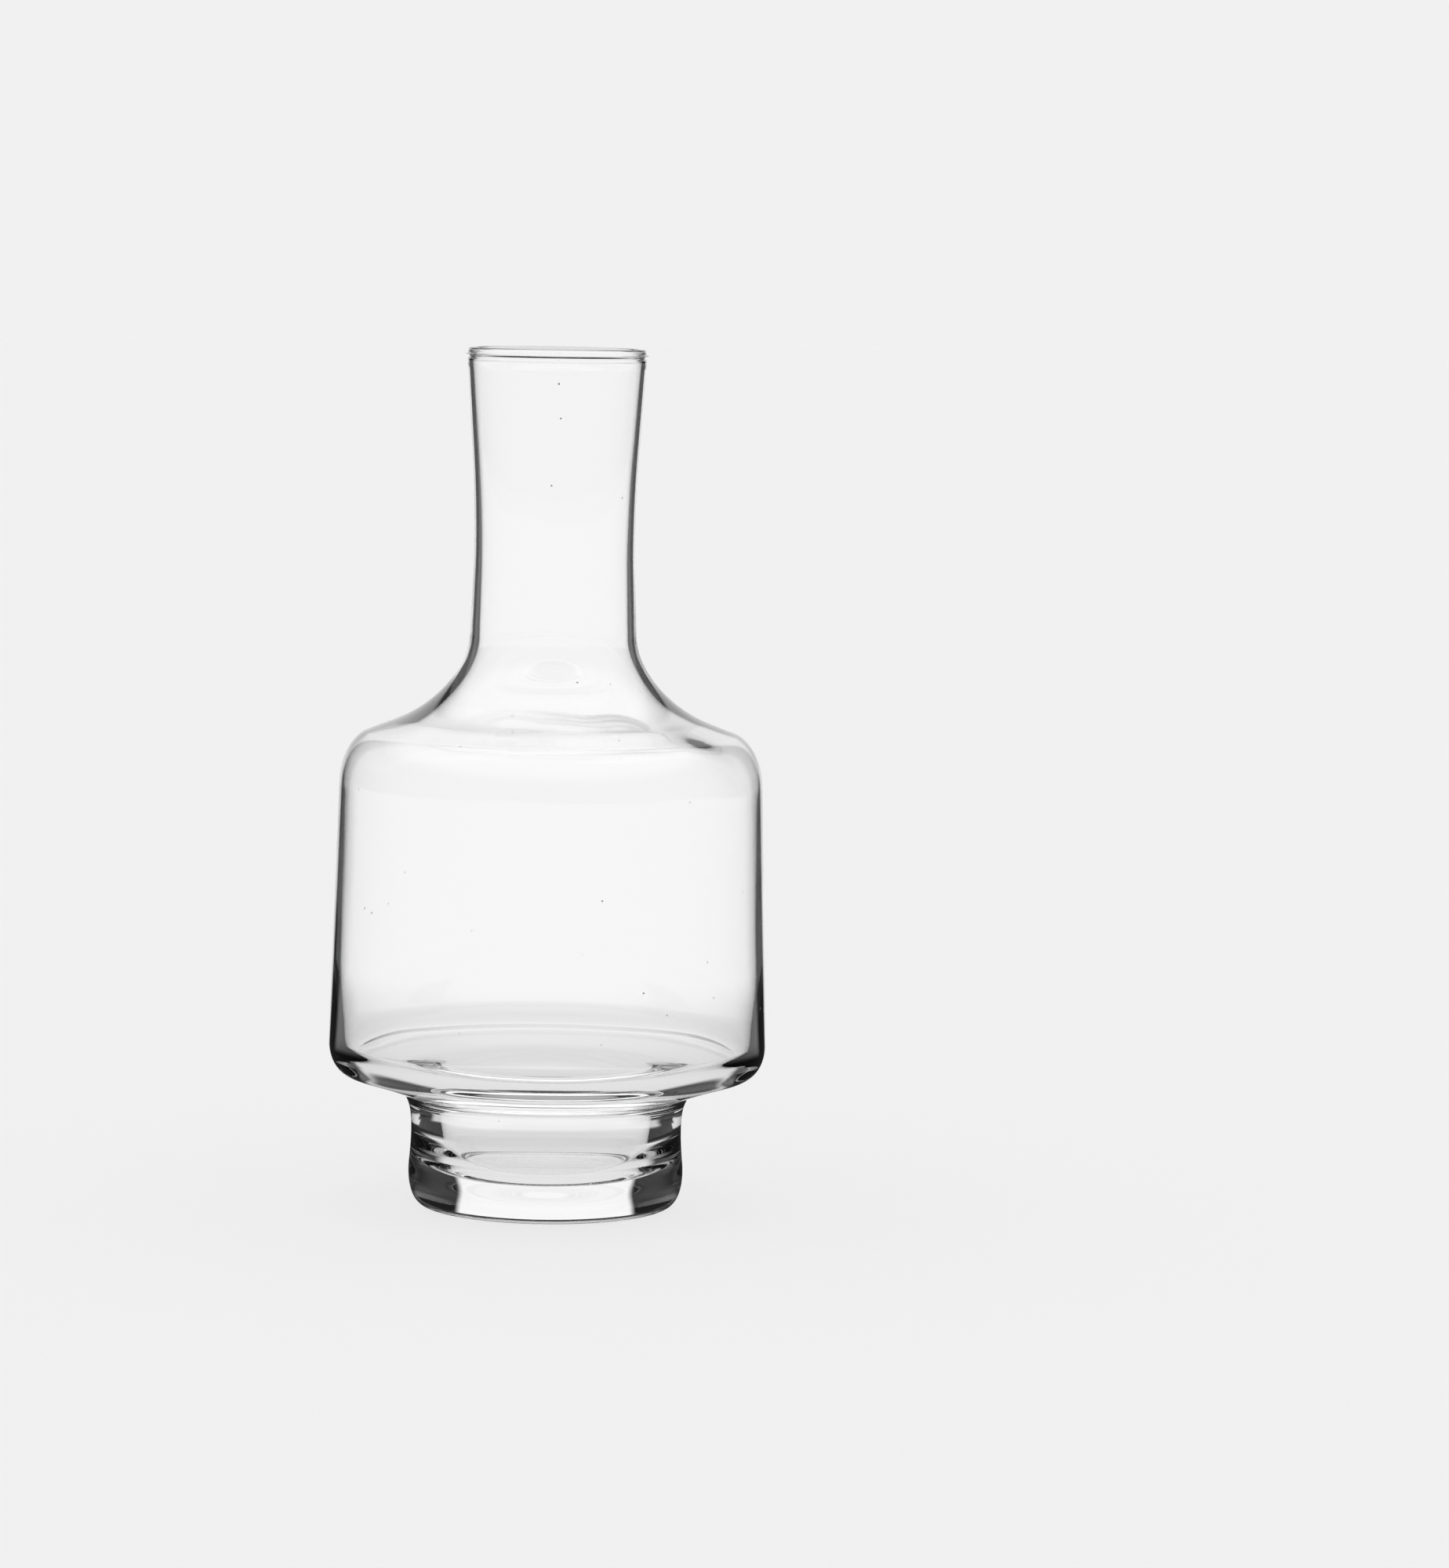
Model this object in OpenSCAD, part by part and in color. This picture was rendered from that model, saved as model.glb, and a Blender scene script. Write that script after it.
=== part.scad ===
// Clear glass carafe: a waisted foot with a liquid well, a wide body on a heavy heel, a domed
// shoulder that sweeps up through a throat, and a long neck that flares to a bead.
// Millimetres, +Z up, and the origin is the centre of the flat that the carafe stands on.
//
// The glass is revolved from two outlines, one outside and one inside. Each outline is a chain
// of corners, and each corner is rounded by a curve that leaves one leg and joins the next.
// Every zone of the glass is a slice of the same two outlines, cut square to the axis, so
// neighbours always meet face to face and the wall stays smooth from one to the next.

/* [Foot] */
// Diameter of the foot's side, carried down to the table
foot_base_d = 82.6; // [80:0.1:86]
// Diameter of the foot at its waist
foot_waist_d = 78.2; // [75:0.1:81]
// Height of the waist above the table
foot_waist_h = 21.3; // [20:0.1:23]
// Diameter at the top of the foot, where it meets the heel
foot_top_d = 81; // [79:0.5:86]
// Height of the foot, up to the underside of the heel
foot_h = 32.6; // [32:0.1:38]
// Rounding of the foot's lower edge, inwards along the table
foot_edge_in = 6.2; // [2:0.1:8]
// Rounding of the foot's lower edge, up the side
foot_edge_up = 13.2; // [8:0.1:13.4]
// Length of the waist's curve below its narrowest place
foot_waist_below = 8; // [4:0.1:8.5]
// Length of the waist's curve above its narrowest place
foot_waist_above = 5; // [3:0.1:5.5]
// Rounding under the heel, down the foot
foot_top_down = 5.4; // [2:0.1:5.5]
// Rounding under the heel, out along the heel
foot_top_out = 3; // [1:0.1:6]

/* [Well] */
// Thickness of the glass under the well
base_t = 9.3; // [8:0.1:12]
// Diameter of the well at its floor
well_floor_d = 60; // [54:0.1:62]
// Diameter of the well at its mouth
well_mouth_d = 62; // [60:0.1:68]
// Height of the well's mouth above the top of the foot
well_mouth_lift = 1.6; // [1:0.1:4]
// Rounding of the well's floor, inwards
well_floor_in = 9; // [4:0.1:12]
// Rounding of the well's floor, up the side
well_floor_up = 12; // [6:0.1:14]
// Rounding of the well's mouth, along both sides
well_mouth_edge = 4; // [2:0.1:6]

/* [Heel] */
// Greatest diameter of the carafe, at the heel
heel_d = 128; // [120:0.5:136]
// Rise of the heel's underside, from the foot out to the side
heel_rise = 7.9; // [6:0.1:10]
// Rounding of the heel, in along the underside
heel_edge_in = 5.2; // [3:0.1:10]
// Rounding of the heel, up the side
heel_edge_up = 7.7; // [4:0.1:12]
// Thickness of the glass at the heel, through the side
heel_wall = 4.3; // [3:0.1:5]
// Thickness of the glass at the heel, through the floor
heel_floor_t = 2.4; // [2:0.1:4]
// Inner rounding of the heel, in along the floor
heel_inner_in = 9.4; // [4:0.1:12]
// Inner rounding of the heel, up the side
heel_inner_up = 6.2; // [3:0.1:9]

/* [Body] */
// Height of the side, from the heel's corner to the shoulder's
body_h = 95.1; // [85:0.1:110]
// Diameter of the body under the shoulder
body_top_d = 122.4; // [115:0.1:127]
// Thickness of the body's wall above the heel
body_wall = 2.5; // [2:0.1:3.2]
// Height above the heel's inner corner at which the wall reaches that thickness
body_swell_rise = 21.7; // [18:0.1:30]
// Length of the curve there, up and down the wall
body_swell = 8; // [4:0.1:10]

/* [Shoulder] */
// Rise of the shoulder, from the side in to the neck
shoulder_rise = 14.3; // [12:0.1:18]
// Rounding of the shoulder, down the side
shoulder_edge_down = 11.9; // [8:0.1:15]
// Rounding of the shoulder, in towards the neck
shoulder_edge_in = 7.8; // [5:0.1:10]
// Thickness of the glass at the shoulder
shoulder_wall = 1.4; // [1.2:0.1:1.8]

/* [Neck] */
// Diameter of the neck, carried down to the shoulder
neck_root_d = 49.8; // [46:0.1:54]
// Sweep of the neck's root, out along the shoulder
neck_root_out = 22.6; // [14:0.1:24]
// Sweep of the neck's root, up the neck
neck_root_up = 17; // [12:0.1:22]
// Thickness of the glass at the neck's root, through the neck
neck_root_wall = 2.9; // [2:0.1:3.2]
// Thickness that the glass has left at the neck's root, through the shoulder
neck_root_skin = 0.7; // [0.5:0.1:1]
// Diameter of the neck at its narrowest
neck_waist_d = 45.6; // [42:0.1:48]
// Height of the narrowest place above the neck's root
neck_waist_rise = 50.1; // [42:0.1:60]
// Thickness of the wall at the narrowest place
neck_waist_wall = 1.9; // [1.6:0.1:2.4]
// Length of the neck's waist below its narrowest place
neck_waist_below = 14; // [8:0.1:18]
// Length of the neck's waist above its narrowest place
neck_waist_above = 20; // [10:0.1:24]
// Height of the flare, from the narrowest place to the bead
neck_flare_h = 46.9; // [40:0.1:55]
// Diameter of the neck under the bead
neck_top_d = 52; // [48:0.1:56]
// Thickness of the wall under the bead
neck_top_wall = 1.5; // [1.3:0.1:2]

/* [Rim] */
// Thickness of the bead
bead_t = 3.1; // [2.8:0.1:3.8]
// How far the bead stands out from the neck
bead_stand = 0.7; // [0.4:0.1:1]
// Height of the rim, from the top of the bead down
rim_h = 5; // [4.5:0.1:8]

/* [Hidden] */
$fn = 96;

// Points along the curve of one corner
curve_steps = 12;
// How far a corner's curve is drawn towards the sharp corner, as a share of its legs
fullness_share = 0.58;
// Clear glass, faintly grey
glass_colour = [0.87, 0.9, 0.9, 0.45];

// Heights of the sharp corners, each counted up from the one below
heel_z = foot_h + heel_rise;
heel_inner_z = heel_z + heel_floor_t;
shoulder_z = heel_z + body_h;
neck_root_z = shoulder_z + shoulder_rise;
neck_waist_z = neck_root_z + neck_waist_rise;
bead_low_z = neck_waist_z + neck_flare_h;
carafe_h = bead_low_z + bead_t;
bead_z = carafe_h - bead_t / 2;

// Heights at which the zones are cut
heel_top_z = heel_z + heel_edge_up;
body_top_z = shoulder_z - shoulder_edge_down;
throat_top_z = neck_root_z + neck_root_up;
neck_top_z = carafe_h - rim_h;

// Radius of the body's side at a height
function side_r(z) =
    let (share = (z - heel_z) / body_h)
    (heel_d * (1 - share) + body_top_d * share) / 2;
swell_z = heel_inner_z + body_swell_rise;

// Corners of the outside: radius, height, and how far the curve starts before and ends after
outer_chain = [
    [0, 0, 0, 0],
    [foot_base_d / 2, 0, foot_edge_in, foot_edge_up],
    [foot_waist_d / 2, foot_waist_h, foot_waist_below, foot_waist_above],
    [foot_top_d / 2, foot_h, foot_top_down, foot_top_out],
    [heel_d / 2, heel_z, heel_edge_in, heel_edge_up],
    [body_top_d / 2, shoulder_z, shoulder_edge_down, shoulder_edge_in],
    [neck_root_d / 2, neck_root_z, neck_root_out, neck_root_up],
    [neck_waist_d / 2, neck_waist_z, neck_waist_below, neck_waist_above],
    [neck_top_d / 2, bead_z, 0, 0],
];

// Corners of the inside, each set in from its outer corner by the wall there
inner_chain = [
    [0, base_t, 0, 0],
    [well_floor_d / 2, base_t, well_floor_in, well_floor_up],
    [well_mouth_d / 2, foot_h + well_mouth_lift, well_mouth_edge, well_mouth_edge],
    [heel_d / 2 - heel_wall, heel_inner_z, heel_inner_in, heel_inner_up],
    [side_r(swell_z) - body_wall, swell_z, body_swell, body_swell],
    [body_top_d / 2 - shoulder_wall, shoulder_z - shoulder_wall, shoulder_edge_down, shoulder_edge_in],
    [neck_root_d / 2 - neck_root_wall, neck_root_z - neck_root_skin, neck_root_out, neck_root_up],
    [neck_waist_d / 2 - neck_waist_wall, neck_waist_z, neck_waist_below, neck_waist_above],
    [neck_top_d / 2 - neck_top_wall, bead_z, 0, 0],
];

// The place of a corner, without its curve
function place(corner) = [corner[0], corner[1]];

// A point part of the way from one place to another
function between(a, b, share) = a * (1 - share) + b * share;

// The point that lies a given length from a place, towards another
function along(from, to, length) = from + length * (to - from) / norm(to - from);

// The shoulder is cut from the throat where the straight slope between them ends
shoulder_top_z = along(
    [neck_root_d / 2, neck_root_z], [body_top_d / 2, shoulder_z], neck_root_out
)[1];

// A point on the cubic curve with four control points
function cubic(a, b, c, d, t) =
    between(between(between(a, b, t), between(b, c, t), t), between(between(b, c, t), between(c, d, t), t), t);

// The curve round the corner at place i of a chain
function rounded(chain, i) =
    let (
        sharp = place(chain[i]),
        start = along(sharp, place(chain[i - 1]), chain[i][2]),
        finish = along(sharp, place(chain[i + 1]), chain[i][3])
    )
    [for (step = [0 : curve_steps])
        cubic(
            start, between(start, sharp, fullness_share),
            between(finish, sharp, fullness_share), finish,
            step / curve_steps
        )];

// A whole outline, from the axis to the mouth
function outline(chain) = [
    place(chain[0]),
    for (i = [1 : len(chain) - 2]) each rounded(chain, i),
    place(chain[len(chain) - 1]),
];
outside = outline(outer_chain);
inside = outline(inner_chain);

// The point where an outline passes a height, at or below its top
function at_height(path, z) =
    let (
        k = [for (i = [0 : len(path) - 2]) if (path[i][1] <= z && path[i + 1][1] >= z
            && path[i + 1][1] > path[i][1]) i],
        last = k[len(k) - 1]
    )
    between(path[last], path[last + 1], (z - path[last][1]) / (path[last + 1][1] - path[last][1]));

// The stretch of an outline between two heights
function stretch(path, low, high) = [
    at_height(path, low),
    for (p = path) if (p[1] > low && p[1] < high) p,
    at_height(path, high),
];

// The same points from last to first
function turned(path) = [for (i = [len(path) - 1 : -1 : 0]) path[i]];

// The wall's cross-section between two heights
module wall_slice(low, high) {
    polygon(concat(stretch(outside, low, high), turned(stretch(inside, low, high))));
}

// Solid disc of glass under the well
module base() {
    color(glass_colour)
        rotate_extrude()
            polygon(concat([[0, 0]], stretch(outside, 0, base_t), [[0, base_t]]));
}

// Thick waisted wall round the well
module foot() {
    color(glass_colour) rotate_extrude() wall_slice(base_t, foot_h);
}

// Heavy turn of glass from the foot out to the side
module heel() {
    color(glass_colour) rotate_extrude() wall_slice(foot_h, heel_top_z);
}

// Wide side, thinning upwards
module body() {
    color(glass_colour) rotate_extrude() wall_slice(heel_top_z, body_top_z);
}

// Domed turn from the side in to the slope that leads to the neck
module shoulder() {
    color(glass_colour) rotate_extrude() wall_slice(body_top_z, shoulder_top_z);
}

// Sweep from the shoulder's slope up into the neck
module throat() {
    color(glass_colour) rotate_extrude() wall_slice(shoulder_top_z, throat_top_z);
}

// Long wall that narrows to a waist and flares to the mouth
module neck() {
    color(glass_colour) rotate_extrude() wall_slice(throat_top_z, neck_top_z);
}

// Top of the wall and the round bead that finishes it
module rim() {
    color(glass_colour)
        rotate_extrude() {
            wall_slice(neck_top_z, bead_z);
            translate([neck_top_d / 2 + bead_stand - bead_t / 2, bead_z]) circle(d = bead_t);
        }
}

base();
foot();
heel();
body();
shoulder();
throat();
neck();
rim();
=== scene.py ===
"""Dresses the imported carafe: one continuous skin of clear blown glass, in a plain pale studio."""

import logging
import math
from dataclasses import dataclass
from enum import Enum

import bpy
import numpy as np
from mathutils import Matrix


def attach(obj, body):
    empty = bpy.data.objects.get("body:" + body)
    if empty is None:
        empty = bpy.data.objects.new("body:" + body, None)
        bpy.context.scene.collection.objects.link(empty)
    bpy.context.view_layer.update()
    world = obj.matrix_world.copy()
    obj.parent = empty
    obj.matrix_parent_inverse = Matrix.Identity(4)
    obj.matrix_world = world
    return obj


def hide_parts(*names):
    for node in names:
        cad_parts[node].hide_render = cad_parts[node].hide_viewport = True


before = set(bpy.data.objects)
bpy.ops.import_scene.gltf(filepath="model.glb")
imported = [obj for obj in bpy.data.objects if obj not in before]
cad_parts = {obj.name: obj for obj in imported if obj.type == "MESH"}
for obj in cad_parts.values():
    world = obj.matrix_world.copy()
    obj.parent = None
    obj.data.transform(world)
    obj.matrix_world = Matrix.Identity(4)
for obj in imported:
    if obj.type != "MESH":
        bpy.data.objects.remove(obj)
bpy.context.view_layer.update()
MM = 0.001
HALF = 0.5
WHITE = (1.0, 1.0, 1.0, 1.0)
LOG = logging.getLogger("carafe")

Socket = bpy.types.NodeSocket
Value = float | Socket
Pair = tuple[float, float]
Colour = tuple[float, float, float, float]


@dataclass(frozen=True)
class Corner:
    """One sharp corner of an outline, with the curve that rounds it.

    Lengths are in millimetres. The curve starts lead_in before the corner and ends lead_out
    after it, along the two legs.
    """

    radius: float
    height: float
    lead_in: float = 0.0
    lead_out: float = 0.0

    @property
    def place(self) -> np.ndarray:
        """The corner's radius and height as a vector."""
        return np.array([self.radius, self.height])


@dataclass(frozen=True)
class VesselSizes:
    """The carafe's own sizes in millimetres, from the foot up.

    A pair is the lead-in and the lead-out of a rounded corner.
    """

    foot_base_d: float = 82.6
    foot_waist_d: float = 78.2
    foot_waist_h: float = 21.3
    foot_top_d: float = 81.0
    foot_h: float = 32.6
    foot_edge: Pair = (6.2, 13.2)
    foot_waist_curve: Pair = (8.0, 5.0)
    foot_top_curve: Pair = (5.4, 3.0)
    base_t: float = 9.3
    well_floor_d: float = 60.0
    well_mouth_d: float = 62.0
    well_mouth_lift: float = 1.6
    well_floor_curve: Pair = (9.0, 12.0)
    well_mouth_curve: Pair = (4.0, 4.0)
    heel_d: float = 128.0
    heel_rise: float = 7.9
    heel_edge: Pair = (5.2, 7.7)
    heel_wall: float = 4.3
    heel_floor_t: float = 2.4
    heel_inner_curve: Pair = (9.4, 6.2)
    body_h: float = 95.1
    body_top_d: float = 122.4
    body_wall: float = 2.5
    body_swell_rise: float = 21.7
    body_swell_curve: Pair = (8.0, 8.0)
    shoulder_rise: float = 14.3
    shoulder_edge: Pair = (11.9, 7.8)
    shoulder_wall: float = 1.4
    neck_root_d: float = 49.8
    neck_root_curve: Pair = (22.6, 17.0)
    neck_root_wall: float = 2.9
    neck_root_skin: float = 0.7
    neck_waist_d: float = 45.6
    neck_waist_rise: float = 50.1
    neck_waist_wall: float = 1.9
    neck_waist_curve: Pair = (14.0, 20.0)
    neck_flare_h: float = 46.9
    neck_top_d: float = 52.0
    neck_top_wall: float = 1.5
    bead_t: float = 3.1
    bead_stand: float = 0.7
    bead_blend: float = 1.6
    rim_wall: float = 2.15
    rim_edge: float = 0.95
    rim_cove_drop: float = 1.55
    rim_cove_edge: float = 0.35
    lip_drop: float = 1.9
    lip_edge: float = 0.15
    groove_drop: float = 2.5
    groove_in: float = 1.4
    ring_drop: float = 3.3
    ring_in: float = 0.8
    ring_edge: float = 0.22
    rim_foot_drop: float = 3.7
    rim_foot_in: float = 0.8
    fullness: float = 0.58

    @property
    def heel_z(self) -> float:
        """Height of the heel's outer corner."""
        return self.foot_h + self.heel_rise

    @property
    def shoulder_z(self) -> float:
        """Height of the shoulder's outer corner."""
        return self.heel_z + self.body_h

    @property
    def neck_root_z(self) -> float:
        """Height of the corner between shoulder and neck."""
        return self.shoulder_z + self.shoulder_rise

    @property
    def neck_waist_z(self) -> float:
        """Height of the neck's narrowest place."""
        return self.neck_root_z + self.neck_waist_rise

    @property
    def bead_z(self) -> float:
        """Height of the bead's centre."""
        return self.neck_waist_z + self.neck_flare_h + self.bead_t / 2

    @property
    def bead_r(self) -> float:
        """Radius of the circle that the bead's centre runs on."""
        return self.neck_top_d / 2 + self.bead_stand - self.bead_t / 2

    def side_r(self, z: float) -> float:
        """Radius of the body's straight side at a height."""
        share = (z - self.heel_z) / self.body_h
        return (self.heel_d * (1 - share) + self.body_top_d * share) / 2

    def outer_corners(self) -> list[Corner]:
        """Lists the corners of the outside.

        Returns:
            The corners, from the middle of the underside up to the bead.
        """
        s = self
        return [
            Corner(0.0, 0.0),
            Corner(s.foot_base_d / 2, 0.0, *s.foot_edge),
            Corner(s.foot_waist_d / 2, s.foot_waist_h, *s.foot_waist_curve),
            Corner(s.foot_top_d / 2, s.foot_h, *s.foot_top_curve),
            Corner(s.heel_d / 2, s.heel_z, *s.heel_edge),
            Corner(s.body_top_d / 2, s.shoulder_z, *s.shoulder_edge),
            Corner(s.neck_root_d / 2, s.neck_root_z, *s.neck_root_curve),
            Corner(s.neck_waist_d / 2, s.neck_waist_z, *s.neck_waist_curve),
            Corner(s.neck_top_d / 2, s.bead_z),
        ]

    def inner_corners(self) -> list[Corner]:
        """Lists the corners of the inside.

        Returns:
            The corners, from the middle of the well's floor up to the bead.
        """
        s = self
        heel_z = s.heel_z + s.heel_floor_t
        swell_z = heel_z + s.body_swell_rise
        shoulder_r = s.body_top_d / 2 - s.shoulder_wall
        root_r = s.neck_root_d / 2 - s.neck_root_wall
        return [
            Corner(0.0, s.base_t),
            Corner(s.well_floor_d / 2, s.base_t, *s.well_floor_curve),
            Corner(s.well_mouth_d / 2, s.foot_h + s.well_mouth_lift, *s.well_mouth_curve),
            Corner(s.heel_d / 2 - s.heel_wall, heel_z, *s.heel_inner_curve),
            Corner(s.side_r(swell_z) - s.body_wall, swell_z, *s.body_swell_curve),
            Corner(shoulder_r, s.shoulder_z - s.shoulder_wall, *s.shoulder_edge),
            Corner(root_r, s.neck_root_z - s.neck_root_skin, *s.neck_root_curve),
            Corner(s.neck_waist_d / 2 - s.neck_waist_wall, s.neck_waist_z, *s.neck_waist_curve),
            Corner(s.neck_top_d / 2 - s.neck_top_wall, s.bead_z),
        ]


@dataclass(frozen=True)
class Outline:
    """Turns corners into the half-section that the glass is revolved from.

    The steps are the longest stretches between points, in millimetres. Straight stretches keep
    a short step too, because the walls are cut off bead_blend below the bead's edge.
    """

    sizes: VesselSizes
    curve_step: float = 1.0
    straight_step: float = 2.4
    fewest: int = 8
    bead_low_deg: float = 205.0
    blend_handle: float = 0.45

    def cubic(self, handles: tuple[np.ndarray, ...], count: int) -> np.ndarray:
        """Points along the cubic curve with four control points.

        Args:
            handles: The start, the two handles and the end.
            count: Number of steps.

        Returns:
            An array of count + 1 points.
        """
        a, b, c, d = handles
        t = np.linspace(0.0, 1.0, count + 1)[:, None]
        return (1 - t) ** 3 * a + 3 * t * (1 - t) ** 2 * b + 3 * t**2 * (1 - t) * c + t**3 * d

    def rounded(self, before: Corner, at: Corner, after: Corner) -> np.ndarray:
        """The curve round one corner.

        Args:
            before: The corner before it.
            at: The corner itself.
            after: The corner after it.

        Returns:
            The points of the curve.
        """
        back = before.place - at.place
        on = after.place - at.place
        start = at.place + back / np.linalg.norm(back) * at.lead_in
        finish = at.place + on / np.linalg.norm(on) * at.lead_out
        count = max(self.fewest, round((at.lead_in + at.lead_out) / self.curve_step))
        full = self.sizes.fullness
        first = start + (at.place - start) * full
        second = finish + (at.place - finish) * full
        return self.cubic((start, first, second, finish), count)

    def chain(self, corners: list[Corner]) -> np.ndarray:
        """An outline with its corners rounded and its straight stretches divided.

        Args:
            corners: The sharp corners in order.

        Returns:
            The outline's points.
        """
        runs = [
            self.rounded(before, at, after)
            for before, at, after in zip(corners, corners[1:], corners[2:])
        ]
        runs.append(corners[-1].place[None, :])
        points = [corners[0].place]
        for run in runs:
            first = points[-1]
            gap = np.linalg.norm(run[0] - first)
            pieces = max(1, math.ceil(gap / self.straight_step))
            points += [first + (run[0] - first) * k / pieces for k in range(1, pieces)]
            points += list(run)
        return np.array(points)

    def bead(self) -> np.ndarray:
        """Lays out the rim's edge.

        Returns:
            The points, up inside the mouth, over the top, out to the lip and in to the neck.
        """
        s = self.sizes
        half = s.bead_t / 2
        top = s.bead_z + half
        lip_r = s.bead_r + half
        inner_r = s.bead_r - half
        outer_r = inner_r + s.rim_wall
        low = math.radians(self.bead_low_deg)
        start = (s.bead_r + half * math.cos(low), s.bead_z + half * math.sin(low))
        return self.chain(
            [
                Corner(*start),
                Corner(inner_r, top, half, s.rim_edge),
                Corner(outer_r, top, s.rim_edge, s.rim_edge),
                Corner(outer_r, top - s.rim_cove_drop, s.rim_cove_edge, s.rim_cove_edge),
                Corner(lip_r, top - s.lip_drop, s.lip_edge, s.lip_edge),
                Corner(lip_r - s.groove_in, top - s.groove_drop, s.ring_edge, s.ring_edge),
                Corner(lip_r - s.ring_in, top - s.ring_drop, s.ring_edge, s.ring_edge),
                Corner(lip_r - s.rim_foot_in, top - s.rim_foot_drop),
            ]
        )

    def joined(self, wall: np.ndarray, arc: np.ndarray) -> np.ndarray:
        """A wall that runs up to the bead, blended into the bead's edge.

        Args:
            wall: The wall's points, upwards.
            arc: The edge's points, away from the wall.

        Returns:
            The wall's points and the blend's, without the edge.
        """
        s = self.sizes
        kept = wall[wall[:, 1] < arc[0, 1] - s.bead_blend]
        up = kept[-1] - kept[-2]
        along = arc[0] - arc[1]
        reach = s.bead_blend * self.blend_handle
        first = kept[-1] + up / np.linalg.norm(up) * reach
        second = arc[0] + along / np.linalg.norm(along) * reach
        blend = self.cubic((kept[-1], first, second, arc[0]), self.fewest)
        return np.vstack([kept, blend[1:-1]])

    def section(self) -> tuple[np.ndarray, int]:
        """The half-section: from the well's floor up, over the bead, down and in underneath.

        Returns:
            The points, and how many of them lie on the inside.
        """
        arc = self.bead()
        inside = self.joined(self.chain(self.sizes.inner_corners()), arc)
        outside = self.joined(self.chain(self.sizes.outer_corners()), arc[::-1])
        return np.vstack([inside, arc, outside[::-1]]), len(inside)


@dataclass(frozen=True)
class WallPlay:
    """How freely the inner wall wanders, from the foot up, as shares of the full wander.

    A drop is in millimetres below the shoulder or the bead, and the rise above the neck's root.
    """

    base: float = 2.0
    foot: float = 7.0
    heel: float = 1.5
    body: float = 0.7
    body_drop: float = 15.0
    shoulder: float = 9.0
    neck: float = 1.2
    neck_rise: float = 20.0
    rim: float = 0.5
    rim_drop: float = 8.0
    still_drop: float = 3.0

    def shares(self, points: np.ndarray, inner: int, sizes: VesselSizes) -> np.ndarray:
        """The share at each point of the section. The outside keeps still.

        Args:
            points: The section in millimetres.
            inner: How many points lie on the inside.
            sizes: The carafe's sizes.

        Returns:
            One share for each point.
        """
        stations = (
            (sizes.base_t, self.base),
            (sizes.foot_h, self.foot),
            (sizes.heel_z, self.heel),
            (sizes.shoulder_z - self.body_drop, self.body),
            (sizes.shoulder_z, self.shoulder),
            (sizes.neck_root_z + self.neck_rise, self.neck),
            (sizes.bead_z - self.rim_drop, self.rim),
            (sizes.bead_z - self.still_drop, 0.0),
        )
        free = np.interp(points[:, 1], *zip(*stations))
        free[inner:] = 0.0
        return free


class NodeTree:
    """A thin layer over a node tree that makes nodes and links in one call."""

    def __init__(self, tree: bpy.types.NodeTree) -> None:
        """Keeps the tree."""
        self.tree = tree

    def add(self, kind: str, inputs: dict | None = None, **settings: object) -> bpy.types.Node:
        """Makes a node.

        Args:
            kind: Blender's name of the node type.
            inputs: Sockets, by name or place, and the value or output socket for each.
            settings: The node's own properties.

        Returns:
            The new node.
        """
        node = self.tree.nodes.new(kind)
        for name, value in settings.items():
            setattr(node, name, value)
        for name, value in (inputs or {}).items():
            if isinstance(value, bpy.types.NodeSocket):
                self.tree.links.new(value, node.inputs[name])
            else:
                node.inputs[name].default_value = value
        return node

    def math(self, operation: str, *values: Value) -> Socket:
        """The output of a Math node on numbers or output sockets."""
        return self.add("ShaderNodeMath", dict(enumerate(values)), operation=operation).outputs[0]

    def at_least(self, depth: Socket, count: int) -> Socket:
        """Whether a ray's depth, which is a whole number, has reached a count, as 1 or 0."""
        return self.math("GREATER_THAN", depth, count - HALF)

    def pick(self, share: Value, yes: Value, no: Value) -> Socket:
        """A blend of two values, by a share from 0, which is all no, to 1, which is all yes."""
        return self.add("ShaderNodeMix", {"Factor": share, "A": no, "B": yes}).outputs["Result"]

    def fade(
        self, value: Socket, low: float, high: float, start: float = 0.0, end: float = 1.0
    ) -> Socket:
        """A smooth step between two values.

        Args:
            value: The socket that is read.
            low: Where the step starts.
            high: Where it ends.
            start: The result below low.
            end: The result above high.

        Returns:
            The output socket.
        """
        node = self.add(
            "ShaderNodeMapRange",
            {"Value": value, "From Min": low, "From Max": high, "To Min": start, "To Max": end},
            interpolation_type="SMOOTHSTEP",
        )
        return node.outputs[0]


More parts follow.
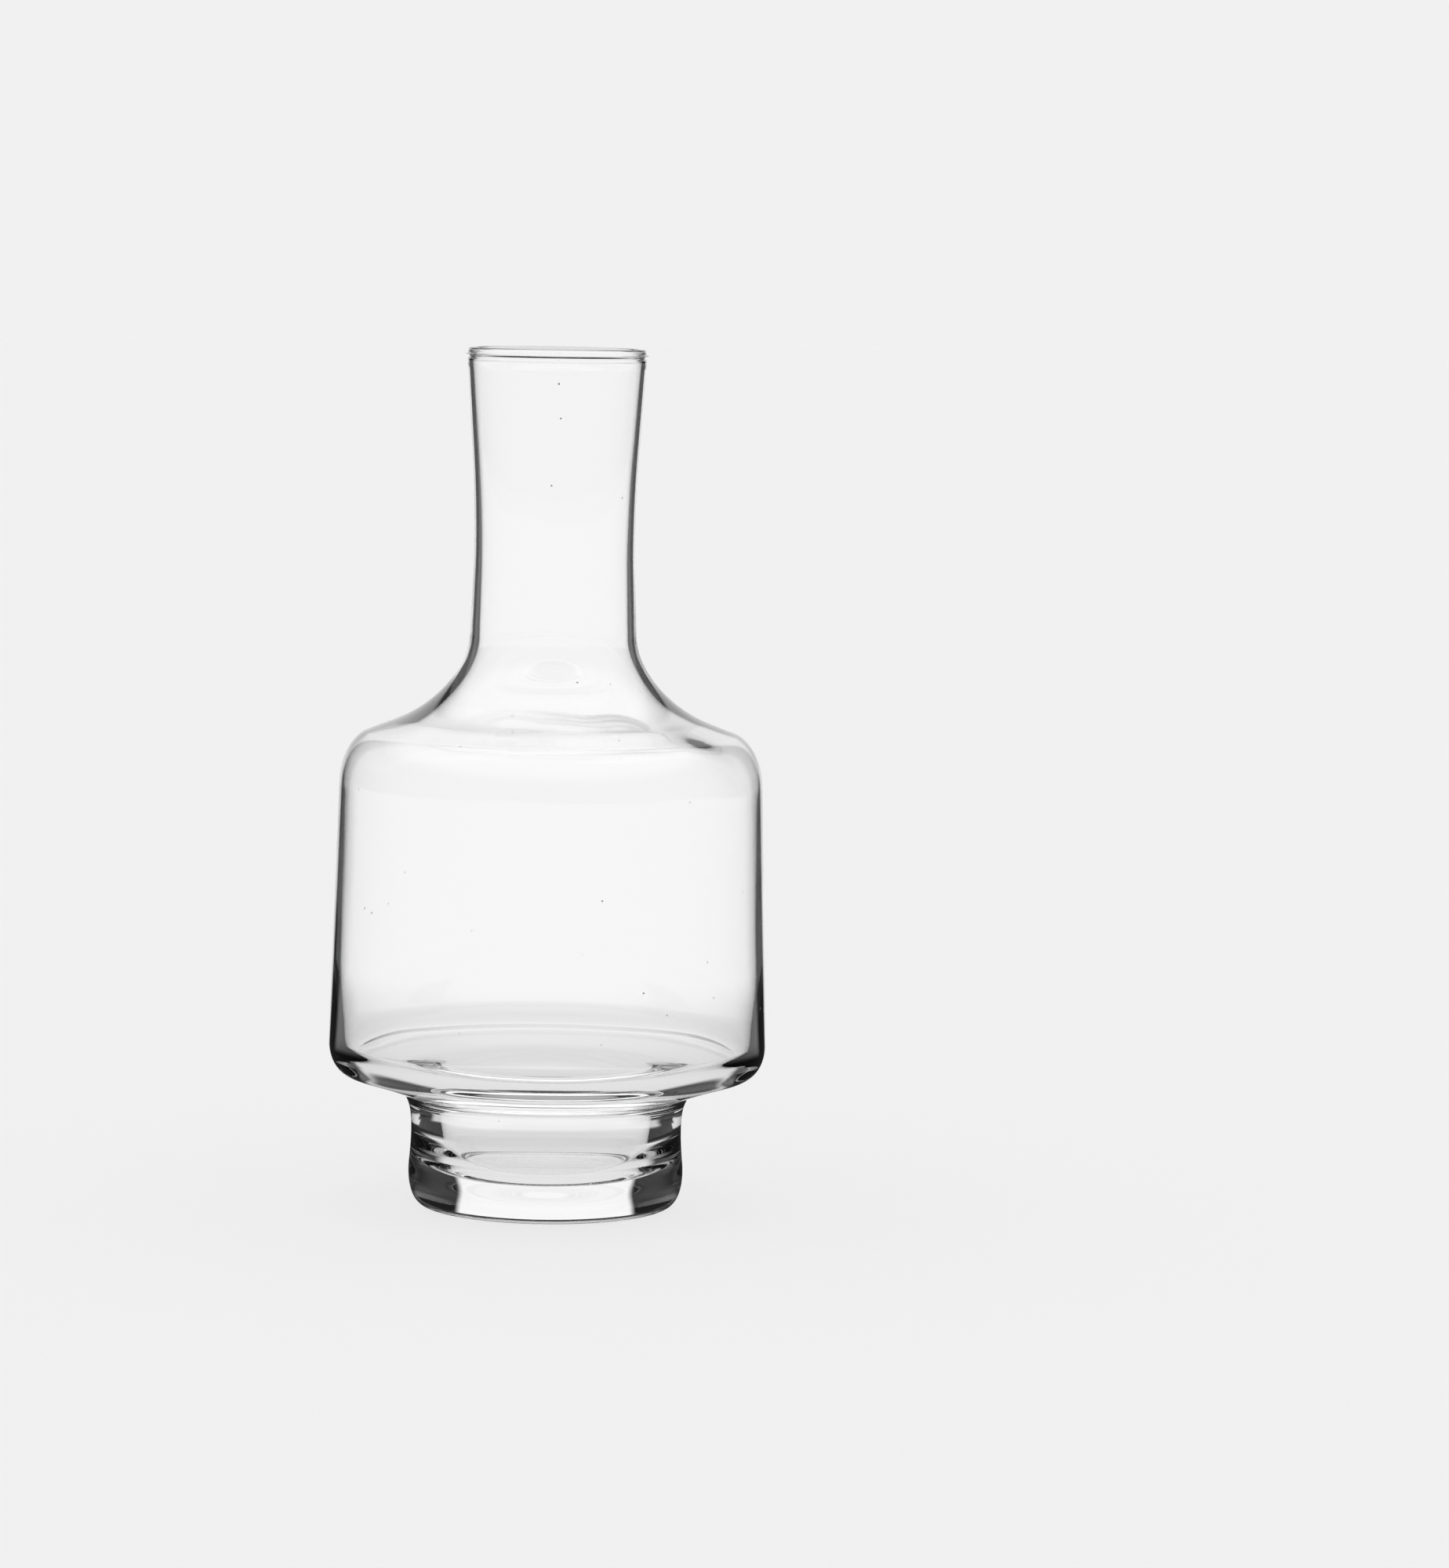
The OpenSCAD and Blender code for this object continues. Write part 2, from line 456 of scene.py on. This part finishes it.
@dataclass(frozen=True)
class ClearGlass:
    """Clear soda-lime glass, fire-polished, with the faint ripple of a blown wall.

    Lengths are in metres, and each scale is a number of cells to the metre.
    """

    name: str = "clear_glass"
    ior: float = 1.5
    tint: Colour = (0.99, 0.99, 0.99, 1.0)
    ripple_per_m: float = 22.0
    ripple_stretch: tuple[float, float, float] = (1.0, 1.0, 0.35)
    ripple_detail: float = 1.0
    ripple_roughness: float = 0.4
    ripple_depth: float = 0.00012
    ripple_strength: float = 0.12
    seeds_per_m: float = 90.0
    seed_radius: float = 0.00035
    seed_depth: float = 0.0004
    wear_height: float = 0.0005
    wear_roughness: float = 0.28
    scratch_per_m: float = 900.0
    scratch_detail: float = 3.0
    scratch_edge: Pair = (0.35, 0.75)
    shade: Colour = (0.97, 0.97, 0.97, 1.0)

    def rippled(self, nodes: NodeTree, place: Socket) -> Socket:
        """The normal of a blown wall: a slow ripple, drawn out upwards, with a few tiny seeds.

        Args:
            nodes: The material's tree.
            place: The Object coordinates.

        Returns:
            The normal's socket.
        """
        drawn = nodes.add("ShaderNodeMapping", {"Vector": place, "Scale": self.ripple_stretch})
        ripple = nodes.add(
            "ShaderNodeTexNoise",
            {
                "Vector": drawn.outputs[0],
                "Scale": self.ripple_per_m,
                "Detail": self.ripple_detail,
                "Roughness": self.ripple_roughness,
            },
        ).outputs[0]
        waves = nodes.add(
            "ShaderNodeBump",
            {"Height": ripple, "Strength": self.ripple_strength, "Distance": self.ripple_depth},
        ).outputs[0]
        cells = nodes.add("ShaderNodeTexVoronoi", {"Vector": place, "Scale": self.seeds_per_m})
        reach = self.seed_radius * self.seeds_per_m
        blister = nodes.fade(cells.outputs["Distance"], 0.0, reach, 1.0, 0.0)
        return nodes.add(
            "ShaderNodeBump",
            {"Height": blister, "Strength": 1.0, "Distance": self.seed_depth, "Normal": waves},
        ).outputs[0]

    def worn(self, nodes: NodeTree, place: Socket) -> Socket:
        """The roughness: fine scratches on the ring that the glass stands on, and none above.

        Args:
            nodes: The material's tree.
            place: The Object coordinates.

        Returns:
            The roughness's socket.
        """
        height = nodes.add("ShaderNodeSeparateXYZ", {"Vector": place}).outputs["Z"]
        low = nodes.fade(height, 0.0, self.wear_height, 1.0, 0.0)
        scratch = nodes.add(
            "ShaderNodeTexNoise",
            {"Vector": place, "Scale": self.scratch_per_m, "Detail": self.scratch_detail},
        ).outputs[0]
        wear = nodes.math("MULTIPLY", low, nodes.fade(scratch, *self.scratch_edge))
        return nodes.math("MULTIPLY", wear, self.wear_roughness)

    def material(self) -> bpy.types.Material:
        """Builds the material: plain glass to the eye, and clear to shadows and matt light.

        Returns:
            The material.
        """
        material = bpy.data.materials.new(self.name)
        material.use_nodes = True
        material.node_tree.nodes.clear()
        nodes = NodeTree(material.node_tree)
        place = nodes.add("ShaderNodeTexCoord").outputs["Object"]
        shader = nodes.add(
            "ShaderNodeBsdfPrincipled",
            {
                "Base Color": self.tint,
                "Roughness": self.worn(nodes, place),
                "IOR": self.ior,
                "Transmission Weight": 1.0,
                "Normal": self.rippled(nodes, place),
            },
        ).outputs[0]
        path = nodes.add("ShaderNodeLightPath").outputs
        by_matt = nodes.math("MAXIMUM", path["Is Shadow Ray"], path["Is Diffuse Ray"])
        clear = nodes.add("ShaderNodeBsdfTransparent", {"Color": self.shade}).outputs[0]
        blend = nodes.add("ShaderNodeMixShader", {0: by_matt, 1: shader, 2: clear})
        nodes.add("ShaderNodeOutputMaterial", {"Surface": blend.outputs[0]})
        return material


@dataclass(frozen=True)
class Lathe:
    """Geometry Nodes that revolve a section round the axis and let its wall wander a little.

    The section's points carry two attributes: facing, the way out of the glass, and play, how
    freely the wall wanders there.
    """

    name: str = "revolve_glass"
    facing: str = "facing"
    play: str = "play"
    swing_detail: float = 1.0
    swing_gain: float = 2.0
    merge_within: float = 1e-6

    def declare(self, tree: bpy.types.NodeTree) -> None:
        """Names what the tree takes and what it gives.

        Args:
            tree: The empty tree.
        """
        for label, kind in (
            ("Section", "NodeSocketGeometry"),
            ("Points", "NodeSocketInt"),
            ("Turns", "NodeSocketInt"),
            ("Wander", "NodeSocketFloat"),
            ("Wander Scale", "NodeSocketFloat"),
            ("Seed", "NodeSocketFloat"),
            ("Glass", "NodeSocketMaterial"),
        ):
            tree.interface.new_socket(label, in_out="INPUT", socket_type=kind)
        tree.interface.new_socket("Geometry", in_out="OUTPUT", socket_type="NodeSocketGeometry")

    def sampled(
        self, nodes: NodeTree, section: Socket, row: Socket, kind: str, name: str = ""
    ) -> Socket:
        """What the section holds at the row of each of the grid's points.

        Args:
            nodes: The tree.
            section: The section's geometry.
            row: The row of each point.
            kind: Blender's name of the value's type.
            name: The attribute's name. Without one, the place is read.

        Returns:
            The output socket.
        """
        if name:
            value = nodes.add("GeometryNodeInputNamedAttribute", {"Name": name}, data_type=kind)
        else:
            value = nodes.add("GeometryNodeInputPosition")
        return nodes.add(
            "GeometryNodeSampleIndex",
            {"Geometry": section, "Value": value.outputs[0], "Index": row},
            data_type=kind,
        ).outputs[0]

    def spun(self, nodes: NodeTree, vector: Socket, spin: Socket) -> Socket:
        """A vector of the section, turned to each column.

        Args:
            nodes: The tree.
            vector: The vector.
            spin: The turn about the axis.

        Returns:
            The output socket.
        """
        return nodes.add(
            "ShaderNodeVectorRotate",
            {"Vector": vector, "Rotation": spin},
            rotation_type="EULER_XYZ",
        ).outputs[0]

    def tree(self) -> bpy.types.NodeTree:
        """Builds the tree. Columns stand half a step round, so that none lies on an axis.

        Returns:
            The tree.
        """
        tree = bpy.data.node_groups.new(self.name, "GeometryNodeTree")
        self.declare(tree)
        nodes = NodeTree(tree)
        given = nodes.add("NodeGroupInput").outputs
        section = given["Section"]
        around = nodes.math("ADD", given["Turns"], 1)
        grid = nodes.add(
            "GeometryNodeMeshGrid", {"Vertices X": given["Points"], "Vertices Y": around}
        ).outputs[0]
        index = nodes.add("GeometryNodeInputIndex").outputs[0]
        row = nodes.math("FLOOR", nodes.math("DIVIDE", nodes.math("ADD", index, HALF), around))
        column = nodes.math("SUBTRACT", index, nodes.math("MULTIPLY", row, around))
        halfway = nodes.math("ADD", column, HALF)
        angle = nodes.math("MULTIPLY", nodes.math("DIVIDE", halfway, given["Turns"]), math.tau)
        spin = nodes.add("ShaderNodeCombineXYZ", {"Z": angle}).outputs[0]
        place = self.spun(nodes, self.sampled(nodes, section, row, "FLOAT_VECTOR"), spin)
        facing = self.sampled(nodes, section, row, "FLOAT_VECTOR", self.facing)
        noise = nodes.add(
            "ShaderNodeTexNoise",
            {
                "Vector": place,
                "W": given["Seed"],
                "Scale": given["Wander Scale"],
                "Detail": self.swing_detail,
            },
            noise_dimensions="4D",
        ).outputs[0]
        swing = nodes.math("MULTIPLY", nodes.math("SUBTRACT", noise, HALF), self.swing_gain)
        free = self.sampled(nodes, section, row, "FLOAT", self.play)
        amount = nodes.math("MULTIPLY", nodes.math("MULTIPLY", swing, given["Wander"]), free)
        shift = nodes.add(
            "ShaderNodeVectorMath",
            {0: self.spun(nodes, facing, spin), "Scale": amount},
            operation="SCALE",
        ).outputs[0]
        moved = nodes.add("ShaderNodeVectorMath", {0: place, 1: shift}, operation="ADD").outputs[0]
        shape = nodes.add("GeometryNodeSetPosition", {"Geometry": grid, "Position": moved})
        for kind, settings in (
            ("GeometryNodeMergeByDistance", {"Distance": self.merge_within}),
            ("GeometryNodeSetShadeSmooth", {}),
            ("GeometryNodeRealizeInstances", {}),
            ("GeometryNodeSetMaterial", {"Material": given["Glass"]}),
            ("NodeGroupOutput", {}),
        ):
            shape = nodes.add(kind, {0: shape.outputs[0]} | settings)
        return tree


@dataclass(frozen=True)
class BlownGlass:
    """The whole glass of the carafe as one closed skin, inside and outside."""

    sizes: VesselSizes = VesselSizes()
    finish: ClearGlass = ClearGlass()
    play: WallPlay = WallPlay()
    lathe: Lathe = Lathe()
    name: str = "carafe_glass"
    turns: int = 188
    seed: float = 3.0
    wander: float = 0.00012
    wander_per_m: float = 24.0

    def section_object(self) -> bpy.types.Object:
        """Makes the half-section, with its facing and play on its points.

        Returns:
            The object, a chain of edges.
        """
        points, inner = Outline(self.sizes).section()
        mesh = bpy.data.meshes.new("section")
        places = [(r * MM, 0.0, z * MM) for r, z in points]
        mesh.from_pydata(places, [(i, i + 1) for i in range(len(points) - 1)], [])
        ahead = np.gradient(points, axis=0)
        normal = np.stack([-ahead[:, 1], np.zeros(len(points)), ahead[:, 0]], axis=1)
        normal /= np.linalg.norm(normal, axis=1)[:, None]
        facing = mesh.attributes.new(self.lathe.facing, "FLOAT_VECTOR", "POINT")
        facing.data.foreach_set("vector", normal.astype(np.float32).ravel())
        shares = self.play.shares(points, inner, self.sizes)
        play = mesh.attributes.new(self.lathe.play, "FLOAT", "POINT")
        play.data.foreach_set("value", shares.astype(np.float32))
        section = bpy.data.objects.new(self.name, mesh)
        bpy.context.scene.collection.objects.link(section)
        return section

    def revolve(self, section: bpy.types.Object) -> None:
        """Turns a section into the closed skin, as a plain mesh.

        Args:
            section: The half-section's object.
        """
        glass = self.finish.material()
        modifier = section.modifiers.new("revolve", "NODES")
        modifier.node_group = self.lathe.tree()
        values = {
            "Points": len(section.data.vertices),
            "Turns": self.turns,
            "Wander": self.wander,
            "Wander Scale": self.wander_per_m,
            "Seed": self.seed,
            "Glass": glass,
        }
        for item in modifier.node_group.interface.items_tree:
            if item.name in values:
                modifier[item.identifier] = values[item.name]
        graph = bpy.context.evaluated_depsgraph_get()
        mesh = bpy.data.meshes.new_from_object(section.evaluated_get(graph))
        section.modifiers.clear()
        section.data = mesh

    def build(self) -> bpy.types.Object:
        """Makes the glass, hides the solids that it stands for and rides it on the carafe.

        Returns:
            The glass.
        """
        section = self.section_object()
        self.revolve(section)
        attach(section, "root")
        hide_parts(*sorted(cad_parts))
        LOG.info("%s: %d faces", section.name, len(section.data.polygons))
        return section


class Look(Enum):
    """What the surround gives for a direction: how bright it is by a ray's way, and the turn.

    A way tells how many faces of glass the ray has gone through and how many have mirrored it.
    """

    STRAIGHT = "Straight"
    SOLID = "Solid"
    WALL = "Wall"
    SHEEN = "Sheen"
    OUTER = "Outer"
    DEEP = "Deep"
    AHEAD = "Ahead"
    TURN = "Turn"


Looks = dict[Look, Value]


@dataclass(frozen=True)
class Surround:
    """How bright the studio looks to rays that have met glass, by direction and by their way.

    A pale panel stands behind the carafe, with a dark room beside it. A direction's turn is its
    level angle, in degrees, from the scene's Y axis, which runs from the carafe's front to its
    back and stays there when the camera moves. Each pair holds the turns at which a soft edge
    starts and ends.

    The ways without a mirror are straight, through three faces or more, and solid, through fewer.
    Those with one mirror are outer, through no face, wall, through one or two, and sheen, through
    more. Deep is two mirrors or more. Ahead takes the place of wall and outer on the floor close
    by, with the panel's light straight ahead and painted shade to the sides.
    """

    through: float = 1.0
    through_aside: float = 0.93
    aside_edge: Pair = (12.0, 30.0)
    solid_light: float = 1.0
    solid_edge: Pair = (27.5, 31.0)
    solid_dark: float = 0.012
    solid_far_edge: Pair = (72.0, 100.0)
    solid_far_light: float = 0.85
    wall_edge: Pair = (12.0, 19.0)
    wall_far_edge: Pair = (42.0, 54.0)
    outer_edge: Pair = (20.0, 25.0)
    outer_far_edge: Pair = (37.0, 45.0)
    wall_dark: float = 0.03
    wall_far_light: float = 0.66
    # Painted shade on the floor close to the carafe as glass sees it, and painted light on that
    # floor's front close in.
    near_painted_shade: float = 0.03
    near_painted_light: float = 0.8
    sheen: float = 0.62
    sheen_ahead: float = 0.85
    deep_edge: Pair = (60.0, 110.0)
    deep_light: float = 0.5
    deep_dark: float = 0.05

    def turn(self, nodes: NodeTree, direction: Socket) -> Socket:
        """The level angle between a direction and the Y axis, in degrees up to 180.

        Args:
            nodes: The tree to build in.
            direction: The direction, or a place on the floor.

        Returns:
            The output socket.
        """
        parts = nodes.add("ShaderNodeSeparateXYZ", {0: direction}).outputs
        aside = nodes.math("ABSOLUTE", parts["X"])
        return nodes.math("DEGREES", nodes.math("ARCTAN2", aside, parts["Y"]))

    def dark_band(self, nodes: NodeTree, turn: Socket, edge: Pair, far_edge: Pair) -> Socket:
        """The panel, then the dark room, then the paler far side.

        Args:
            nodes: The tree to build in.
            turn: The direction's turn.
            edge: Where the panel ends.
            far_edge: Where the far side begins.

        Returns:
            The output socket.
        """
        return nodes.math(
            "MAXIMUM",
            nodes.fade(turn, *edge, 1.0, self.wall_dark),
            nodes.fade(turn, *far_edge, self.wall_dark, self.wall_far_light),
        )

    def group(self) -> bpy.types.NodeTree:
        """Builds the node group that world and floor share.

        Returns:
            The group, which turns a direction into the looks.
        """
        tree = bpy.data.node_groups.new("pale_panels", "ShaderNodeTree")
        tree.interface.new_socket("Direction", in_out="INPUT", socket_type="NodeSocketVector")
        for look in Look:
            tree.interface.new_socket(look.value, in_out="OUTPUT", socket_type="NodeSocketFloat")
        nodes = NodeTree(tree)
        turn = self.turn(nodes, nodes.add("NodeGroupInput").outputs[0])
        looks: Looks = {
            Look.STRAIGHT: nodes.fade(turn, *self.aside_edge, self.through, self.through_aside),
            Look.SOLID: nodes.math(
                "MAXIMUM",
                nodes.fade(turn, *self.solid_edge, self.solid_light, self.solid_dark),
                nodes.fade(turn, *self.solid_far_edge, self.solid_dark, self.solid_far_light),
            ),
            Look.WALL: self.dark_band(nodes, turn, self.wall_edge, self.wall_far_edge),
            Look.SHEEN: nodes.fade(turn, *self.wall_edge, self.sheen_ahead, self.sheen),
            Look.OUTER: self.dark_band(nodes, turn, self.outer_edge, self.outer_far_edge),
            Look.DEEP: nodes.fade(turn, *self.deep_edge, self.deep_light, self.deep_dark),
            # On the floor close by: the panel's light ahead and painted shade to the sides.
            Look.AHEAD: nodes.fade(turn, *self.outer_edge, 1.0, self.near_painted_shade),
            Look.TURN: turn,
        }
        nodes.add("NodeGroupOutput", {look.value: socket for look, socket in looks.items()})
        return tree

    def looks(self, nodes: NodeTree, panels: bpy.types.NodeTree, direction: Socket) -> Looks:
        """The shared group's outputs for a direction.

        Args:
            nodes: The tree of the world or the floor.
            panels: The shared group.
            direction: The direction, or a place on the floor.

        Returns:
            The output sockets.
        """
        group = nodes.add("ShaderNodeGroup", node_tree=panels)
        nodes.tree.links.new(direction, group.inputs[0])
        return {look: group.outputs[look.value] for look in Look}

    def strength(self, nodes: NodeTree, looks: Looks) -> Socket:
        """Picks the brightness for a ray's way. Matt surfaces get a plain white light.

        Args:
            nodes: The tree of the world or the floor.
            looks: The brightness for each way.

        Returns:
            The output socket.
        """
        path = nodes.add("ShaderNodeLightPath").outputs
        passes = path["Transmission Depth"]
        mirrors = path["Glossy Depth"]
        many = nodes.at_least(passes, 3)
        straight = nodes.pick(many, looks[Look.STRAIGHT], looks[Look.SOLID])
        passed = nodes.pick(many, looks[Look.SHEEN], looks[Look.WALL])
        once = nodes.pick(nodes.at_least(passes, 1), passed, looks[Look.OUTER])
        mirrored = nodes.pick(nodes.at_least(mirrors, 2), looks[Look.DEEP], once)
        glassy = nodes.pick(nodes.at_least(mirrors, 1), mirrored, straight)
        return nodes.pick(nodes.at_least(path["Diffuse Depth"], 1), 1.0, glassy)


@dataclass(frozen=True)
class Studio:
    """A floor that is plain and pale to the camera and glows with painted light and shade for rays
    through or off glass, a surround of soft light, and the camera at the photograph's place.

    Lengths are in metres. A pair in degrees is two heights above the horizon, and any other is
    two distances from the carafe's axis, between which a look changes.
    """

    surround: Surround = Surround()
    backdrop: float = 0.8795
    floor_colour: float = 0.8915
    floor_half: float = 12.0
    floor_drop: float = 0.0002
    # Painted light and shade on the floor under the foot, as glass sees it: brighter than white for
    # rays mirrored twice or more. The pair is the spot's reach.
    under_foot: Pair = (0.045, 0.055)
    under_foot_painted_light: float = 1.4
    # Painted shade: rays through both walls see the floor darker close to the carafe, fading out by
    # through_reach.
    floor_through: float = 0.97
    near_through_painted_shade: float = 0.74
    through_reach: Pair = (0.05, 0.36)
    floor_sheen: float = 1.0
    # Painted shade: sheen rays see the floor darker under the foot.
    under_foot_painted_shade: float = 0.45
    floor_solid: float = 0.72
    # The reach and shape of the painted shade and light on the floor close to the carafe.
    near_floor: Pair = (0.15, 0.18)
    far_floor: Pair = (0.25, 0.45)
    near_reach: Pair = (0.045, 0.15)
    near_turn: float = 88.0
    near_soft: float = 9.0
    near_end: Pair = (0.092, 0.112)
    raised_deg: Pair = (1.0, 4.0)
    raised_wall: float = 0.05
    top_deg: Pair = (26.0, 50.0)
    top_light: float = 1.0
    over_deg: Pair = (24.0, 28.0)
    over_dark: float = 0.03
    camera_place: tuple[float, float, float] = (0.0, -1.65, 0.285)
    yaw_deg: float = -1.7512
    pitch_deg: float = 5.5637
    roll_deg: float = 1.0125
    level_deg: float = 90.0
    lens: float = 130.749

    def camera(self) -> bpy.types.Object:
        """Makes the camera: a long lens a little above the mouth, aimed to the carafe's right.

        Returns:
            The camera.
        """
        data = bpy.data.cameras.new("camera")
        data.lens = self.lens
        camera = bpy.data.objects.new("camera", data)
        turn, tilt, roll = (
            Matrix.Rotation(math.radians(angle), 4, axis)
            for angle, axis in (
                (self.yaw_deg, "Z"),
                (self.level_deg - self.pitch_deg, "X"),
                (self.roll_deg, "Z"),
            )
        )
        camera.matrix_world = Matrix.Translation(self.camera_place) @ turn @ tilt @ roll
        bpy.context.scene.collection.objects.link(camera)
        bpy.context.scene.camera = camera
        return camera

    def world(self, panels: bpy.types.NodeTree) -> None:
        """Lights the scene with the surround.

        Overhead it is bright to rays that have bounced, and dark to those that only went through.

        Args:
            panels: The group that turns a direction into the looks.
        """
        world = bpy.data.worlds.new("studio")
        world.use_nodes = True
        world.node_tree.nodes.clear()
        bpy.context.scene.world = world
        nodes = NodeTree(world.node_tree)
        direction = nodes.add("ShaderNodeTexCoord").outputs["Generated"]
        looks = self.surround.looks(nodes, panels, direction)
        up = nodes.add("ShaderNodeSeparateXYZ", {0: direction}).outputs["Z"]
        raised, top, over = (
            nodes.fade(up, *(math.sin(math.radians(angle)) for angle in edge))
            for edge in (self.raised_deg, self.top_deg, self.over_deg)
        )
        looks[Look.WALL] = nodes.pick(raised, self.raised_wall, looks[Look.WALL])
        for way in (Look.STRAIGHT, Look.SOLID):
            looks[way] = nodes.pick(over, self.over_dark, looks[way])
        level = self.surround.strength(nodes, looks)
        path = nodes.add("ShaderNodeLightPath").outputs
        bounces = nodes.math("ADD", path["Diffuse Depth"], path["Glossy Depth"])
        lit = nodes.math("MULTIPLY", nodes.at_least(bounces, 1), top)
        glassy = nodes.pick(lit, self.top_light, level)
        shown = nodes.pick(path["Is Camera Ray"], self.backdrop, glassy)
        light = nodes.add("ShaderNodeBackground", {"Color": WHITE, "Strength": shown})
        nodes.add("ShaderNodeOutputWorld", {0: light.outputs[0]})

    def floor_looks(self, nodes: NodeTree, panels: bpy.types.NodeTree, place: Socket) -> Looks:
        """The surround's looks as the floor changes them, by the distance from the carafe, with
        painted shade close to the carafe and under its foot, and painted light under the foot and
        on the near floor's front.

        Args:
            nodes: The floor's tree.
            panels: The group that turns a direction into the looks.
            place: The place on the floor.

        Returns:
            The brightness for each way.
        """
        surround = self.surround
        looks = surround.looks(nodes, panels, place)
        away = nodes.add("ShaderNodeVectorMath", {0: place}, operation="LENGTH").outputs["Value"]
        beyond = nodes.fade(away, *self.near_floor)
        far = nodes.fade(away, *self.far_floor)
        # The spot under the foot that holds painted light for deep rays and painted shade for sheen
        # rays.
        under_foot_painted_mask = nodes.fade(away, *self.under_foot)
        # Painted shade and light on the floor close to the carafe: dark behind and beside it,
        # lighter towards the front close in.
        edge = nodes.fade(away, *self.near_reach, self.near_turn, 0.0)
        past = nodes.math("SUBTRACT", looks[Look.TURN], edge)
        lit = nodes.fade(away, *self.near_end, surround.near_painted_light, surround.near_painted_shade)
        near_painted_patch = nodes.pick(
            nodes.fade(past, -self.near_soft, self.near_soft), lit, surround.near_painted_shade
        )
        wall = nodes.pick(far, looks[Look.WALL], looks[Look.AHEAD])
        return looks | {
            # Painted shade: darker close to the carafe for rays through both walls.
            Look.STRAIGHT: nodes.fade(
                away, *self.through_reach, self.near_through_painted_shade, self.floor_through
            ),
            Look.SOLID: nodes.math("MULTIPLY", looks[Look.SOLID], self.floor_solid),
            Look.WALL: nodes.pick(beyond, wall, near_painted_patch),
            # Painted shade under the foot.
            Look.SHEEN: nodes.pick(under_foot_painted_mask, self.floor_sheen, self.under_foot_painted_shade),
            Look.OUTER: nodes.pick(far, looks[Look.OUTER], looks[Look.AHEAD]),
            # Painted light under the foot, brighter than white.
            Look.DEEP: nodes.pick(under_foot_painted_mask, looks[Look.DEEP], self.under_foot_painted_light),
        }

    def floor_material(self, panels: bpy.types.NodeTree) -> bpy.types.Material:
        """A matt pale finish to the camera and to matt light. To rays through or off glass the
        floor glows instead, with painted light in the surround's pattern and painted shade and
        light close to the carafe.

        Args:
            panels: The group that turns a direction into the looks.

        Returns:
            The material.
        """
        material = bpy.data.materials.new("pale_floor")
        material.use_nodes = True
        material.node_tree.nodes.clear()
        nodes = NodeTree(material.node_tree)
        place = nodes.add("ShaderNodeTexCoord").outputs["Object"]
        level = self.surround.strength(nodes, self.floor_looks(nodes, panels, place))
        matt = nodes.add("ShaderNodeBsdfDiffuse", {"Color": (self.floor_colour,) * 3 + (1.0,)})
        # Painted light: rays through or off glass see the floor glow instead of its matt finish.
        glow = nodes.add("ShaderNodeEmission", {"Color": WHITE, "Strength": level})
        path = nodes.add("ShaderNodeLightPath").outputs
        by_glass = nodes.math("MAXIMUM", path["Is Transmission Ray"], path["Is Glossy Ray"])
        blend = nodes.add(
            "ShaderNodeMixShader", {0: by_glass, 1: matt.outputs[0], 2: glow.outputs[0]}
        )
        nodes.add("ShaderNodeOutputMaterial", {"Surface": blend.outputs[0]})
        return material

    def floor(self, panels: bpy.types.NodeTree) -> bpy.types.Object:
        """Makes the floor, a flat sheet just under the carafe.

        Args:
            panels: The group that turns a direction into the looks.

        Returns:
            The floor.
        """
        mesh = bpy.data.meshes.new("floor")
        half, low = self.floor_half, -self.floor_drop
        corners = ((-half, -half), (half, -half), (half, half), (-half, half))
        mesh.from_pydata([(x, y, low) for x, y in corners], [], [(0, 1, 2, 3)])
        mesh.materials.append(self.floor_material(panels))
        floor = bpy.data.objects.new("floor", mesh)
        bpy.context.scene.collection.objects.link(floor)
        return floor

    def build(self) -> None:
        """Sets the view, the surround, the floor and the camera."""
        bpy.context.scene.view_settings.view_transform = "Standard"
        panels = self.surround.group()
        self.world(panels)
        self.floor(panels)
        self.camera()


def main() -> None:
    """Builds the studio and the carafe."""
    logging.basicConfig(level=logging.INFO, format="%(name)s: %(message)s")
    Studio().build()
    BlownGlass().build()


if __name__ == "__main__":
    main()
